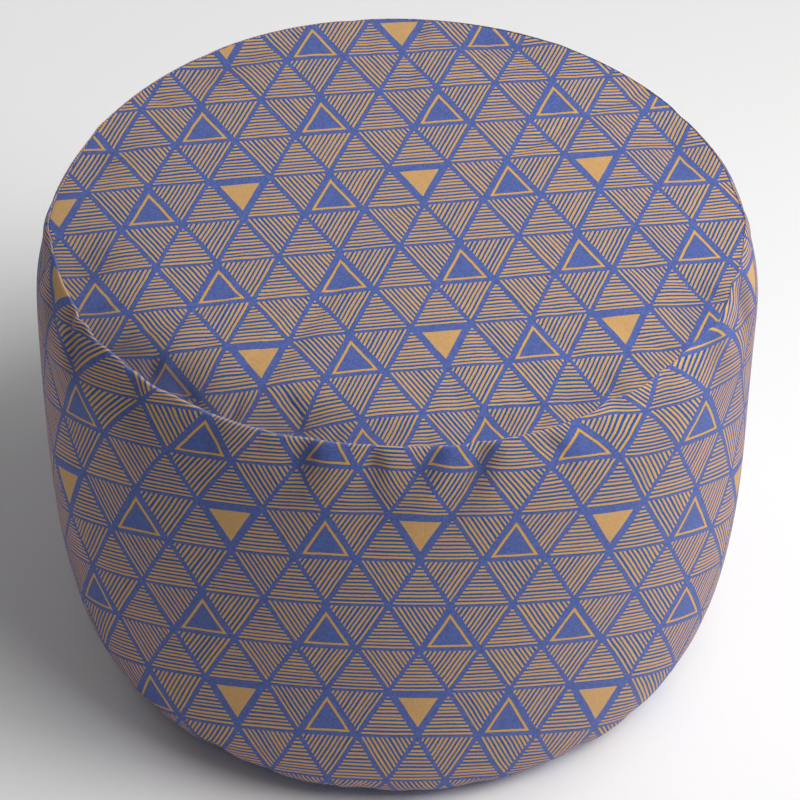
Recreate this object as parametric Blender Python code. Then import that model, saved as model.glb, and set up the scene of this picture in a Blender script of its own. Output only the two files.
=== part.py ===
# Round upholstered pouf: a filled body inside its side band, with a top panel and a base panel sewn in.
# Metres, +Z up. It stands on Z = 0 with its front towards -Y, and its axis is the Z axis.
import math

import bmesh
import bpy

# Driving dimensions
WIDEST_RADIUS = 0.250  # the wall bulges most just under the top seam
WIDEST_HEIGHT = 0.294
SEAM_RADIUS = 0.2355  # where the band is sewn to the top panel
SEAM_HEIGHT = 0.348
TUCK_RADIUS = 0.174  # where the rounded lower wall would run out on the floor
LOWER_FULLNESS = 3.85  # exponent of the lower wall: 2 is an ellipse, more is squarer
UPPER_FULLNESS = 0.8  # exponent of the shoulder between the bulge and the seam
CLOTH = 0.0025  # thickness of a sewn panel
GAP = 0.0003  # between two pieces that touch

# Top panel: it lies a little below the crest of the band's turned edge
LIP_WIDTH = 0.0030
LIP_DEPTH = 0.0015
PANEL_RADIUS = SEAM_RADIUS - LIP_WIDTH - GAP
CROWN = 0.0065  # how far its middle stands above its edge

# Base panel: flat where it stands, and turned up to the base seam at its rim
STANDING_RADIUS = 0.190
BASE_RIM_RADIUS = 0.2135
BASE_RIM_HEIGHT = 0.0065
BASE_SEAM_HEIGHT = BASE_RIM_HEIGHT + CLOTH + GAP

# Mesh density
SEGMENTS = 128
WALL_RINGS = 18
PANEL_RINGS = (1.0, 0.965, 0.915, 0.86, 0.78, 0.66, 0.45)  # shares of the panel's radius
TURNS = [360.0 * k / SEGMENTS for k in range(SEGMENTS)]  # degrees from the front, towards +X

# Gathers in the band, deepest a little below the seam
# columns: turn from the front in degrees, half width, depth, distance of the deepest place below the seam
WALL_FOLDS = (
    (-74.0, 0.022, 0.0045, 0.024),
    (-60.0, 0.017, 0.0035, 0.020),
    (-13.5, 0.014, 0.0038, 0.013),
    (-3.5, 0.012, 0.0026, 0.011),
    (6.0, 0.014, 0.0040, 0.012),
    (15.5, 0.013, 0.0042, 0.014),
    (25.0, 0.015, 0.0030, 0.016),
    (61.0, 0.018, 0.0030, 0.018),
    (76.0, 0.016, 0.0038, 0.022),
    (118.0, 0.020, 0.0034, 0.018),
    (139.0, 0.016, 0.0028, 0.014),
    (166.0, 0.018, 0.0036, 0.016),
    (193.0, 0.016, 0.0030, 0.014),
    (222.0, 0.020, 0.0036, 0.018),
    (247.0, 0.017, 0.0030, 0.016),
)

# Slack places in the top panel, mostly behind the front edge
# columns: turn in degrees, radius, half length round the panel, half width across, depth
TOP_DIPS = (
    (-55.0, 0.206, 0.036, 0.020, 0.0050),
    (-37.0, 0.209, 0.040, 0.021, 0.0085),
    (-20.0, 0.212, 0.030, 0.018, 0.0070),
    (-2.0, 0.216, 0.026, 0.013, 0.0030),
    (17.0, 0.216, 0.024, 0.013, 0.0034),
    (35.0, 0.212, 0.030, 0.017, 0.0048),
    (68.0, 0.218, 0.022, 0.014, 0.0034),
    (-78.0, 0.214, 0.024, 0.016, 0.0040),
    (112.0, 0.214, 0.030, 0.016, 0.0030),
    (158.0, 0.215, 0.032, 0.015, 0.0028),
    (215.0, 0.214, 0.034, 0.016, 0.0032),
    (252.0, 0.215, 0.026, 0.015, 0.0030),
)

# Slow rise and fall of the top seam round the rim
# columns: turn in degrees, half length, rise
RIM_WAVES = (
    (-6.0, 0.060, 0.0032),
    (-38.0, 0.055, 0.0012),
    (40.0, 0.060, -0.0014),
    (128.0, 0.080, -0.0012),
    (205.0, 0.070, 0.0014),
)


# 1 at its middle, falling softly to nothing about two widths away
def hump(offset, width):
    return math.exp(-((offset / width) ** 2))


# distance round a circle between two turns
def round_distance(turn, other, radius):
    return math.radians((turn - other + 180.0) % 360.0 - 180.0) * radius


def place(turn, radius, height):
    angle = math.radians(turn)
    return radius * math.sin(angle), -radius * math.cos(angle), height


def seam_lift(turn):
    return sum(rise * hump(round_distance(turn, at, SEAM_RADIUS), length) for at, length, rise in RIM_WAVES)


# outer radius of the plain wall: a rounded foot, a full middle, and a shoulder drawn in to the seam
def wall_radius(height):
    if height < WIDEST_HEIGHT:
        share = (WIDEST_HEIGHT - height) / WIDEST_HEIGHT
        bulge = (1.0 - share**LOWER_FULLNESS) ** (1.0 / LOWER_FULLNESS)
        return TUCK_RADIUS + (WIDEST_RADIUS - TUCK_RADIUS) * bulge
    share = min(1.0, (height - WIDEST_HEIGHT) / (SEAM_HEIGHT - WIDEST_HEIGHT))
    return SEAM_RADIUS + (WIDEST_RADIUS - SEAM_RADIUS) * (1.0 - share**2) ** UPPER_FULLNESS


# a fold starts at the seam, is deepest at its own distance below it, and fades further down
def fold_depth(turn, below):
    depth = 0.0
    for at, width, deepest, distance in WALL_FOLDS:
        along = below / distance
        depth += deepest * hump(round_distance(turn, at, SEAM_RADIUS), width) * along * math.exp(1.0 - along)
    return depth


def wall_ring(height):
    points = []
    for turn in TURNS:
        radius = wall_radius(height) - fold_depth(turn, SEAM_HEIGHT - height)
        points.append(place(turn, radius, height + seam_lift(turn) * (height / SEAM_HEIGHT) ** 4))
    return points


# height of the top panel's upper face above the seam's plane
def panel_height(turn, radius):
    share = radius / PANEL_RADIUS
    height = CROWN * (1.0 - share**2) - LIP_DEPTH + seam_lift(turn) * share**4
    for at, out, length, width, depth in TOP_DIPS:
        height -= depth * hump(round_distance(turn, at, out), length) * hump(radius - out, width)
    return height


def panel_ring(share, below, base=0.0, widen=0.0):
    radius = share * PANEL_RADIUS
    return [place(turn, radius + widen, base + panel_height(turn, radius) - below) for turn in TURNS]


def plain_ring(radius, height):
    return [place(turn, radius, height) for turn in TURNS]


# Skins a row of rings, from the lowest middle outwards and up to the highest middle.
# Every four-sided face is split from its inner corner, so that two faces that lie on each other match.
def skin(name, rings, material, low_middle=None, high_middle=None):
    mesh = bpy.data.meshes.new(name)
    bm = bmesh.new()
    loops = [[bm.verts.new(point) for point in ring] for ring in rings]
    for here, after in zip(loops, loops[1:]):
        inward = after[0].co.xy.length < here[0].co.xy.length
        for a, b, c, d in zip(here, here[1:] + here[:1], after[1:] + after[:1], after):
            for corners in ((a, b, d), (b, c, d)) if inward else ((a, b, c), (a, c, d)):
                bm.faces.new(corners)
    first, last = loops[0], loops[-1]
    if low_middle is None:
        bm.faces.new(reversed(first))
    else:
        middle = bm.verts.new((0.0, 0.0, low_middle))
        for a, b in zip(first, first[1:] + first[:1]):
            bm.faces.new((middle, b, a))
    if high_middle is None:
        bm.faces.new(last)
    else:
        middle = bm.verts.new((0.0, 0.0, high_middle))
        for a, b in zip(last, last[1:] + last[:1]):
            bm.faces.new((middle, a, b))
    bm.to_mesh(mesh)
    bm.free()
    mesh.shade_smooth()
    mesh.set_sharp_from_angle(angle=math.radians(40.0))
    mesh.materials.append(material)
    piece = bpy.data.objects.new(name, mesh)
    bpy.context.scene.collection.objects.link(piece)
    return piece


def cloth_material(name, colour, roughness):
    material = bpy.data.materials.new(name)
    material.use_nodes = True
    shader = material.node_tree.nodes["Principled BSDF"]
    shader.inputs["Base Color"].default_value = (*colour, 1.0)
    shader.inputs["Roughness"].default_value = roughness
    shader.inputs["Metallic"].default_value = 0.0
    return material


# The filled body: its wall is the side band, its upper face carries the top panel inside the band's lip
def side_panel(material):
    rings = [
        plain_ring(STANDING_RADIUS, CLOTH + GAP),
        plain_ring(BASE_RIM_RADIUS, BASE_SEAM_HEIGHT),
    ]
    for k in range(WALL_RINGS + 1):
        share = (1.0 - math.cos(math.pi * k / WALL_RINGS)) / 2.0
        rings.append(wall_ring(BASE_SEAM_HEIGHT + (SEAM_HEIGHT - BASE_SEAM_HEIGHT) * share))
    rings.append([place(turn, PANEL_RADIUS + GAP, SEAM_HEIGHT + seam_lift(turn)) for turn in TURNS])
    below = CLOTH + GAP
    rings.append(panel_ring(PANEL_RINGS[0], below, SEAM_HEIGHT, GAP))
    rings += [panel_ring(share, below, SEAM_HEIGHT) for share in PANEL_RINGS[1:]]
    return skin("side_panel", rings, material, high_middle=SEAM_HEIGHT + panel_height(0.0, 0.0) - below)


# The top panel, modelled about the seam's plane
def top_panel(material):
    rings = [panel_ring(share, CLOTH) for share in reversed(PANEL_RINGS)]
    rings += [panel_ring(share, 0.0) for share in PANEL_RINGS]
    middle = panel_height(0.0, 0.0)
    panel = skin("top_panel", rings, material, low_middle=middle - CLOTH, high_middle=middle)
    panel.location.z = SEAM_HEIGHT
    return panel


def base_panel(material):
    rings = [
        plain_ring(STANDING_RADIUS, 0.0),
        plain_ring(BASE_RIM_RADIUS, BASE_RIM_HEIGHT),
        plain_ring(BASE_RIM_RADIUS, BASE_RIM_HEIGHT + CLOTH),
        plain_ring(STANDING_RADIUS, CLOTH),
    ]
    return skin("base_panel", rings, material)


def main():
    for thing in list(bpy.data.objects):
        bpy.data.objects.remove(thing)
    printed = cloth_material("printed_cloth", (0.165, 0.150, 0.215), 0.85)
    plain = cloth_material("plain_cloth", (0.070, 0.095, 0.310), 0.88)
    pouf = bpy.data.objects.new("pouf", None)
    bpy.context.scene.collection.objects.link(pouf)
    for piece in (side_panel(printed), top_panel(printed), base_panel(plain)):
        piece.parent = pouf


main()
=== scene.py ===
import math
from functools import partial

import bpy
import numpy as np
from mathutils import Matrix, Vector


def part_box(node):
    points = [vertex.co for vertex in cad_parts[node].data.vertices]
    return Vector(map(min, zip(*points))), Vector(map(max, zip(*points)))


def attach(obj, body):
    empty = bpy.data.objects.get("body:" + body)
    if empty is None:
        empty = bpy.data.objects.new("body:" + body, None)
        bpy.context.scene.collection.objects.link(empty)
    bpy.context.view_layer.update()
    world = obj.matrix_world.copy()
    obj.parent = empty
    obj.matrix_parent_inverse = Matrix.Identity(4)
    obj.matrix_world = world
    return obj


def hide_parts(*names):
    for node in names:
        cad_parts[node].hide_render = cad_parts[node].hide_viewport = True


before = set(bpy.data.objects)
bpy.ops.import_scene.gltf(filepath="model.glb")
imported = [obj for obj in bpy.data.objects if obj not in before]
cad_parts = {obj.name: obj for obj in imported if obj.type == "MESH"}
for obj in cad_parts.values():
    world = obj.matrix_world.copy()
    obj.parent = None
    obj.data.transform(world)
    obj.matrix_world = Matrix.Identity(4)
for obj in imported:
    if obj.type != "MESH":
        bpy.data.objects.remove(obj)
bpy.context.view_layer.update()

bpy.context.scene.view_settings.view_transform = "Standard"

# The radii of the three cut pieces come from the solids' boxes
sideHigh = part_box("side_panel")[1]
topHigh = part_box("top_panel")[1]
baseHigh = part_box("base_panel")[1]

pouf = {
    "columns": 720,  # round the pouf
    "widestRadius": sideHigh.x,
    "widestHeight": 0.294,
    "panelRadius": topHigh.x,
    "seamRadius": topHigh.x + 0.0033,
    "seamHeight": 0.348,
    "crown": 0.0065,
    "tightRoll": 0.0003,  # radius of the turned edges where the seam is tight
    "looseRoll": 0.0016,  # and where the band stands up as a lip, at the front left
    "looseTurn": -35.0,
    "looseReach": 48.0,
    "lipDepth": 0.0036,  # the top panel's edge lies this far under the lip where the seam is loose
    "edgeGap": 0.0001,  # between the panel's edge and the band's turned edge
    "tuckRadius": 0.174,  # where the rounded foot would run out on the floor
    "lowerFullness": 3.85,
    "upperFullness": 0.8,
    "wallFoot": 0.0093,  # the band's wall ends at this height, by the base panel's rim
    "baseRimRadius": baseHigh.x,
    "standingRadius": 0.190,
    "softWave": 0.16,  # shortest soft wave along the cloth
    "anyPhase": 6.28,  # a soft wave or a pucker starts anywhere in its circle
}

seamHeight, seamRadius, panelRadius = (pouf[size] for size in ("seamHeight", "seamRadius", "panelRadius"))

# Slow rise and fall of the top seam: turn from the front in degrees, half length, rise
rimWaves = (
    (-6, 0.06, 0.0032), (-38, 0.055, 0.0012), (40, 0.06, -0.0014),
    (128, 0.08, -0.0012), (205, 0.07, 0.0014),
)

# The seam also wanders in and out a little: turn, half length, inward
seamWander = (
    (-90, 0.036, -0.005), (-85, 0.007, 0.0008), (-74, 0.012, -0.0008), (-64, 0.005, -0.0026),
    (-58, 0.012, -0.0022), (-49, 0.005, -0.0008), (-43, 0.012, -0.0018), (-31, 0.005, -0.0005),
    (-22, 0.006, 0.0007), (-14, 0.008, 0.001), (-4, 0.004, 0.0007), (6, 0.005, 0.0008),
    (13, 0.006, 0.0014), (23, 0.006, -0.001), (37, 0.011, 0.0042), (48, 0.006, 0.0014),
    (64, 0.018, -0.0044), (72, 0.02, -0.0038), (73, 0.01, 0.0026), (80, 0.018, -0.0019),
    (83, 0.014, -0.0016), (90, 0.02, -0.0048), (96, 0.012, -0.001), (104, 0.03, -0.0016),
    (121, 0.008, 0.001), (150, 0.007, -0.0006), (188, 0.008, 0.0009), (216, 0.007, 0.0007),
    (243, 0.008, -0.0007),
)

print("pouf: shapes shared by the pieces")
closedTurns = np.linspace(0.0, 360.0, pouf["columns"] + 1)  # the first column comes again at the end
turns = closedTurns[:-1]


def hump(x, width):  # exp(-(x / width)^2)
    return np.exp(-(x / width) ** 2)


def smoothStep(x, start, length):  # s^2 (3 - 2 s), with s going from 0 at the start to 1 a length further
    s = np.clip((x - start) / length, 0.0, 1.0)
    return s * s * (3.0 - 2.0 * s)


def turnBetween(turn, at):  # degrees from one turn to another, signed, the short way round
    return (turn - at + 180.0) % 360.0 - 180.0


def roundDistance(turn, at, radius):  # the same as an arc
    return np.radians(turnBetween(turn, at)) * radius


def seamWaves(turn, waves):  # size * hump(arc, half length) of each wave, added up
    return sum(size * hump(roundDistance(turn, at, seamRadius), length) for at, length, size in waves)


def seamLift(turn):  # how far the seam rises or falls
    return seamWaves(turn, rimWaves)


def seamIn(turn):  # how far the seam lies inside its circle
    return seamWaves(turn, seamWander)


def liftShare(height):  # how much of the seam's rise and fall the wall follows, (height / seam height)^4
    return (height / seamHeight) ** 4


def looseness(turn):  # 1 where the band stands up as a lip, 0 where the seam is tight
    return hump(turnBetween(turn, pouf["looseTurn"]), pouf["looseReach"])


def seamRoll(turn):  # radius of the turned edges, from tight to loose
    return pouf["tightRoll"] + (pouf["looseRoll"] - pouf["tightRoll"]) * looseness(turn)


def panelEdge(turn):  # seam - inward - (1 + sqrt(1/2)) roll - gap: where the band's turned edge begins
    return seamRadius - seamIn(turn) - (1.0 + math.sqrt(0.5)) * seamRoll(turn) - pouf["edgeGap"]


def wallRadius(height):
    # below the bulge tuck + (widest - tuck) (1 - s^n)^(1/n), s the share of the way down to the floor,
    # above it seam + (widest - seam) (1 - s^2)^m, s the share of the way up to the seam
    low = np.clip((pouf["widestHeight"] - height) / pouf["widestHeight"], 0.0, 1.0)
    high = np.clip((height - pouf["widestHeight"]) / (seamHeight - pouf["widestHeight"]), 0.0, 1.0)
    n = pouf["lowerFullness"]
    foot = pouf["tuckRadius"] + (pouf["widestRadius"] - pouf["tuckRadius"]) * (1.0 - low ** n) ** (1.0 / n)
    rise = (1.0 - high ** 2) ** pouf["upperFullness"]
    shoulder = seamRadius + (pouf["widestRadius"] - seamRadius) * rise
    return np.where(height < pouf["widestHeight"], foot, shoulder)


def softWaves(turn, along, seed, count, most, size):
    # a sum of cosines that close round the pouf: a cos(m turn + k along + phase), weaker as m grows
    draw = np.random.default_rng(seed)
    total = np.zeros(np.broadcast(turn, along).shape)
    for _ in range(count):
        m = draw.integers(1, most)
        k = draw.uniform(-1.0, 1.0) * 2.0 * math.pi / pouf["softWave"]
        phase = draw.uniform(0.0, pouf["anyPhase"])
        total = total + np.cos(np.radians(turn) * m + along * k + phase) / math.sqrt(m)
    return size * total / math.sqrt(count)


def ringPoints(turn, radius, height):  # x = r sin(turn), y = -r cos(turn), z = height
    angle = np.radians(turn)
    return np.stack(np.broadcast_arrays(radius * np.sin(angle), -radius * np.cos(angle), height), -1)


def newObject(name, data):
    made = bpy.data.objects.new(name, data)
    bpy.context.scene.collection.objects.link(made)
    return made


def meshPiece(name, co, corners, sizes):
    # a smooth piece from its points, all its faces' corners in one row, and each face's number of corners
    mesh = bpy.data.meshes.new(name)
    mesh.vertices.add(len(co))
    mesh.vertices.foreach_set("co", co.astype(np.float32).ravel())
    mesh.loops.add(len(corners))
    mesh.loops.foreach_set("vertex_index", corners.astype(np.int32))
    mesh.polygons.add(len(sizes))
    mesh.polygons.foreach_set("loop_start", np.concatenate([[0], np.cumsum(sizes)[:-1]]).astype(np.int32))
    mesh.update(calc_edges=True)
    mesh.shade_smooth()
    return newObject(name, mesh)


def tubeFaces(rows, columns):
    # four-cornered faces between rings of points, and a fan of three-cornered ones at both ends; the ends'
    # own points come after those of the rings
    first, last = np.arange(rows - 1)[:, None] * columns, (rows - 1) * columns
    j = np.arange(columns)
    k = (j + 1) % columns
    quads = np.stack([first + j, first + columns + j, first + columns + k, first + k], -1)
    firstFan = np.stack([np.full(columns, rows * columns), j, k], -1)
    lastFan = np.stack([np.full(columns, rows * columns + 1), last + k, last + j], -1)
    return quads.reshape(-1, 4), np.concatenate([firstFan, lastFan])


def gridPiece(name, points, cloth, topMiddle, lowMiddle, marks):
    # points[row, column] run from the top middle outwards and down to the low middle, and close round the
    # axis; the cloth coordinates have one column more, because the print goes on where the points close
    rows, columns = points.shape[:2]
    quads, fans = tubeFaces(rows, columns)
    co = np.concatenate([points.reshape(-1, 3), [topMiddle, lowMiddle]])
    sizes = np.repeat([4, 3], [len(quads), len(fans)])
    piece = meshPiece(name, co, np.concatenate([quads.ravel(), fans.ravel()]), sizes)
    mesh = piece.data

    wall = np.stack([cloth[:-1, :-1], cloth[1:, :-1], cloth[1:, 1:], cloth[:-1, 1:]], 2)
    topFan = np.stack([np.broadcast_to(cloth[0].mean(0), (columns, 2)), cloth[0, :-1], cloth[0, 1:]], 1)
    lowFan = np.stack([np.broadcast_to(cloth[-1].mean(0), (columns, 2)), cloth[-1, 1:], cloth[-1, :-1]], 1)
    uv = np.concatenate([part.reshape(-1, 2) for part in (wall, topFan, lowFan)])
    mesh.uv_layers.new(name="cloth")
    mesh.uv_layers["cloth"].data.foreach_set("uv", uv.astype(np.float32).ravel())
    for label, values in marks.items():
        values = np.broadcast_to(values, points.shape[:2]).ravel()
        mark = mesh.attributes.new(label, "FLOAT", "POINT")
        mark.data.foreach_set("value", np.concatenate([values, [0.0, 0.0]]).astype(np.float32))
    mesh.validate()
    return piece


print("pouf: node groups")


def feed(tree, node, inputs):  # each named socket gets its value, or a link from another node's output
    for label, value in inputs.items():
        socket = node.inputs[label]
        if isinstance(value, (int, float)):
            socket.default_value = value
        elif isinstance(value, tuple):
            socket.default_value = (*value, 1.0)[:len(socket.default_value)]
        else:
            tree.links.new(value, socket)


def newNode(tree, kind, inputs):
    node = tree.nodes.new("ShaderNode" + kind)
    feed(tree, node, inputs)
    return node


def mathNode(tree, operation, *values):
    node = tree.nodes.new("ShaderNodeMath")
    node.operation = operation
    feed(tree, node, dict(enumerate(values)))
    return node.outputs[0]


def operations(tree, *names):  # short names for the sums that a node tree is made of
    return (partial(mathNode, tree, name) for name in names)


def mixColours(tree, factor, first, second):
    node = tree.nodes.new("ShaderNodeMix")
    node.data_type = "RGBA"
    node.clamp_factor = False
    feed(tree, node, {0: factor, 6: first, 7: second})
    return node.outputs[2]


def chanceNode(tree, dimensions, *places):  # one seeded draw for each set of whole numbers
    chance = tree.nodes.new("ShaderNodeTexWhiteNoise")
    chance.noise_dimensions = dimensions
    place = newNode(tree, "CombineXYZ", dict(enumerate(places)))
    tree.links.new(place.outputs[0], chance.inputs["Vector"])
    return chance


def newGroup(name, inputs, outputs):
    # inputs hold each socket's first value, or its kind where it has none; outputs hold kinds
    tree = bpy.data.node_groups.new(name, "ShaderNodeTree")
    for label, value in inputs.items():
        kind = value if isinstance(value, str) else "Float"
        socket = tree.interface.new_socket(label, in_out="INPUT", socket_type="NodeSocket" + kind)
        if kind != value:
            socket.default_value = value
    for label, kind in outputs.items():
        tree.interface.new_socket(label, in_out="OUTPUT", socket_type="NodeSocket" + kind)
    return tree, tree.nodes.new("NodeGroupInput").outputs, tree.nodes.new("NodeGroupOutput")


trianglePrint = {
    "widthChance": 0.16,  # how much hatch lines differ in width, place and length
    "placeChance": 0.12,
    "endChance": 0.018,
    "lineInk": 1.09,  # fine lines and gaps have stronger colours than plain fields
    "gapInk": -0.13,
    "ringInk": 1.10,
    "ringMiddle": 0.0200,  # an outlined triangle's line, from its outer edge
    "ringHalf": 0.0212,
    "ringLow": 0.076,  # where it begins, from the row's line and from the side
    "ringSide": 0.088,
    "filledHigh": 0.868,  # where a filled triangle ends
    "filledSide": 0.102,
    "ringCorner": 0.018,  # how round their corners are
    "filledCorner": 0.03,
    "acrossRow": 0.97,  # true distance of a row up, and of a pitch across a slanted side
    "acrossSide": 0.889,
    "upApart": 40.0,  # keeps the draws of triangles that point up apart
}


def buildTrianglePrint():
    # rows of triangles, one pitch wide and one row high, hatched along one side each. Every fourth row has a
    # filled triangle at every third place, and outlined ones stand between them and in the rows half way
    look = trianglePrint
    tree, given, out = newGroup("trianglePrint", {
        "Cloth": "Vector", "Lines": 12.4, "Line Share": 0.50, "Side Gap": 0.034, "Row Gap": 0.022,
        "Wobble": 0.028, "Sharpness": 130.0}, {"Ink": "Float", "Hatched": "Float"})
    add, minus, times, timesAdd = operations(tree, "ADD", "SUBTRACT", "MULTIPLY", "MULTIPLY_ADD")
    modulo, whole, size, isOver, isUnder, isNear, softLeast = operations(
        tree, "FLOORED_MODULO", "FLOOR", "ABSOLUTE", "GREATER_THAN", "LESS_THAN", "COMPARE", "SMOOTH_MIN")
    divided, least, most, nearest = operations(tree, "DIVIDE", "MINIMUM", "MAXIMUM", "ROUND")
    pick = lambda choice, yes, no: add(times(choice, minus(yes, no)), no)
    edge = lambda distance: least(most(timesAdd(distance, given["Sharpness"], 0.5), 0.0), 1.0)
    lines, sideGap, rowGap = given["Lines"], given["Side Gap"], given["Row Gap"]

    # the unsteady hand: the cloth coordinates waver a little
    hand = newNode(tree, "TexNoise", {"Vector": given["Cloth"], "Scale": 2.3, "Detail": 2.0})
    centred, moved = (tree.nodes.new("ShaderNodeVectorMath") for _ in range(2))
    centred.operation, moved.operation = "SUBTRACT", "MULTIPLY_ADD"
    feed(tree, centred, {0: hand.outputs["Color"], 1: (0.5, 0.5, 0.5)})
    feed(tree, moved, {0: centred.outputs[0], 1: given["Wobble"], 2: given["Cloth"]})
    split = newNode(tree, "SeparateXYZ", {0: moved.outputs[0]})
    u, v = split.outputs["X"], split.outputs["Y"]

    # the row, the place in it, and the distance from the sides of the triangle that points up
    row = whole(v)
    f = minus(v, row)  # 0 on the row's lower line, 1 on its upper line
    slant = timesAdd(modulo(row, 2.0), 0.5, u)
    cell = whole(slant)
    side = minus(timesAdd(f, -0.5, 0.5), size(minus(minus(slant, cell), 0.5)))  # over 0 if it points up
    up = isOver(side, 0.0)
    corner = nearest(slant)
    off = minus(slant, corner)

    # which side the hatch follows in a triangle that points down, and how far from that side this point is
    fourth = modulo(row, 4.0)
    filledRow = isUnder(fourth, 0.5)
    outlinedRow = isNear(fourth, 2.0, 0.5)
    third = modulo(corner, 3.0)
    leansRight = add(times(minus(1.0, filledRow), modulo(corner, 2.0)), times(filledRow, isOver(third, 1.5)))
    t = timesAdd(off, timesAdd(leansRight, -2.0, 1.0), times(f, 0.5))

    # the hatch: each line has its own width, place and ends
    h = times(minus(pick(up, f, t), pick(up, rowGap, sideGap)), lines)
    line = whole(h)
    chance = chanceNode(tree, "3D", pick(up, cell, corner), row, timesAdd(up, look["upApart"], line))
    draws = newNode(tree, "SeparateColor", {0: chance.outputs["Color"]}).outputs
    width = timesAdd(minus(draws[0], 0.5), look["widthChance"], given["Line Share"])
    shift = timesAdd(draws[1], look["placeChance"], -0.5 - look["placeChance"] / 2.0)
    fromLine = size(add(minus(h, line), shift))
    lineMask = edge(divided(minus(times(width, 0.5), fromLine), lines))
    ends = edge(minus(size(side), timesAdd(draws[2], look["endChance"], sideGap)))
    rowEnd = edge(pick(up, divided(h, lines), minus(minus(1.0, f), rowGap)))
    area = times(ends, rowEnd)
    hatch = times(area, timesAdd(lineMask, look["lineInk"] - look["gapInk"], look["gapInk"]))

    # outlined and filled triangles, with rounded corners
    ringAt = softLeast(times(minus(f, look["ringLow"]), look["acrossRow"]),
                       times(minus(side, look["ringSide"]), look["acrossSide"]), look["ringCorner"])
    ring = edge(minus(look["ringHalf"], size(minus(ringAt, look["ringMiddle"]))))
    filledAt = softLeast(times(minus(look["filledHigh"], f), look["acrossRow"]),
                         times(minus(-look["filledSide"], side), look["acrossSide"]), look["filledCorner"])
    ringHere = add(times(outlinedRow, isUnder(modulo(cell, 2.0), 0.5)),
                   times(filledRow, isNear(modulo(cell, 3.0), 1.0, 0.5)))
    filledHere = times(filledRow, isUnder(third, 0.5))
    upInk = pick(ringHere, times(ring, look["ringInk"]), hatch)
    hatched = pick(up, pick(ringHere, ring, area), times(area, minus(1.0, filledHere)))
    feed(tree, out, {"Ink": pick(up, upInk, pick(filledHere, edge(filledAt), hatch)), "Hatched": hatched})
    return tree


def buildPlainWeave():
    # over and under threads: height is sin^2 across the thread that lies on top at each crossing. A thread's
    # thickness differs along it, and each crossing has its own brightness
    tree, given, out = newGroup("plainWeave", {
        "Cloth": "Vector", "Threads": 34.0, "Slub": 0.35, "Speckle": 0.60},
        {"Height": "Float", "Fleck": "Float"})
    add, minus, times, whole = operations(tree, "ADD", "SUBTRACT", "MULTIPLY", "FLOOR")
    modulo, power, sine = operations(tree, "FLOORED_MODULO", "POWER", "SINE")
    split = newNode(tree, "SeparateXYZ", {0: given["Cloth"]})
    x, y = (times(split.outputs[axis], given["Threads"]) for axis in ("X", "Y"))
    over = modulo(add(whole(x), whole(y)), 2.0)
    warp, weft = (power(sine(times(across, math.pi)), 2.0) for across in (x, y))
    height = add(times(over, warp), times(minus(1.0, over), weft))
    slub = newNode(tree, "TexNoise", {"Vector": given["Cloth"], "Scale": 26.0, "Detail": 3.0})
    uneven = times(minus(slub.outputs["Fac"], 0.5), given["Slub"])
    chance = chanceNode(tree, "2D", whole(x), whole(y))
    speckle = times(minus(chance.outputs["Value"], 0.5), given["Speckle"])
    threads = times(minus(height, 0.5), 0.5)
    feed(tree, out, {"Height": add(height, uneven), "Fleck": add(add(threads, uneven), speckle)})
    return tree


def buildClothFleckAndPaintedLight():
    # the colour times 1 + contrast * fleck, then mixed with a painted highlight's colour by its strength *
    # seam, and with a painted shade's colour by shade * fold
    tree, given, out = newGroup("clothFleckAndPaintedLight", {
        "Colour": "Color", "Fleck": "Float", "Contrast": "Float", "Seam": "Float", "Highlight": "Float",
        "Highlight Colour": "Color", "Fold": "Float", "Shade": "Float", "Fold Colour": "Color"},
        {"Colour": "Color"})
    times, timesAdd = operations(tree, "MULTIPLY", "MULTIPLY_ADD")
    fleck = timesAdd(given["Fleck"], given["Contrast"], 1.0)
    colour = newNode(tree, "HueSaturation", {"Color": given["Colour"], "Value": fleck}).outputs[0]
    for mark, strength, towards in (("Seam", "Highlight", "Highlight Colour"), ("Fold", "Shade", "Fold Colour")):
        colour = mixColours(tree, times(given[mark], given[strength]), colour, given[towards])
    feed(tree, out, {"Colour": colour})
    return tree


groups = {
    "trianglePrint": buildTrianglePrint(),
    "plainWeave": buildPlainWeave(),
    "clothFleckAndPaintedLight": buildClothFleckAndPaintedLight(),
}


def placeGroup(tree, name, inputs):
    node = tree.nodes.new("ShaderNodeGroup")
    node.node_tree = groups[name]
    feed(tree, node, inputs)
    return node.outputs


def newMaterial(name):
    material = bpy.data.materials.new(name)
    material.use_nodes = True
    return material, material.node_tree, material.node_tree.nodes["Principled BSDF"]


clothLook = {
    "blue": (0.082, 0.124, 0.368),
    "tan": (0.590, 0.347, 0.138),
    "blueInHatch": (0.080, 0.121, 0.352),  # between the fine lines
    "tanInHatch": (0.612, 0.348, 0.100),
    "contrast": 0.60,  # how far threads and slubs lighten and darken the colour
    "contrastInInk": 0.18,  # less where the ink fills them in
    # painted highlight along the crest of the seam's lip: its colour and strength
    "seamPale": (0.42, 0.45, 0.62),
    "seamHighlight": 0.32,
    # painted shade in folds, slack places and behind the lip: its colour and strength
    "inFold": (0.020, 0.022, 0.050),
    "foldShade": 0.52,
    "roughness": 0.86,
    "fleckRoughness": 0.08,
    "sheen": 0.08,
    "weaveDepth": 0.00022,
    "inkHeight": 0.25,  # in shares of a thread's height
}


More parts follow.
